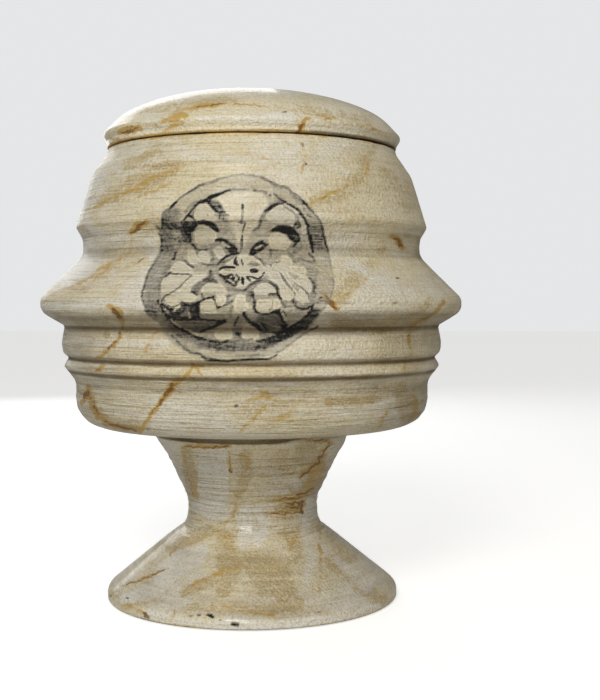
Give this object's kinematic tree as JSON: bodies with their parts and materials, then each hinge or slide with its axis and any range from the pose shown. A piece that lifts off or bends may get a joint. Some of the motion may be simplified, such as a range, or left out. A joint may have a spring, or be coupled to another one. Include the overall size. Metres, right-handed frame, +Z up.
{
  "type": "cremation urn",
  "caption": "Round lidded urn on a flared pedestal foot, moulded and painted cream with ochre marbling and a painted medallion, for holding ashes.",
  "frame": {"origin": "on the ground, on the axis of the urn", "axes": "+Z up along the axis of the urn, -Y towards the painted medallion"},
  "size_m": [0.2314, 0.2314, 0.2786],
  "materials": {
    "lid_paint": "painted warm cream with ochre veins, satin varnish",
    "vessel_paint": "painted cream with ochre and brown veins and a black and grey painted medallion, satin varnish",
    "pedestal_paint": "painted off-white with beige and ochre mottling, satin varnish, small chips at the foot"
  },
  "bodies": {
    "root": {"lid": "lid_paint", "vessel_body": "vessel_paint", "pedestal_foot": "pedestal_paint"}
  },
  "joints": []
}
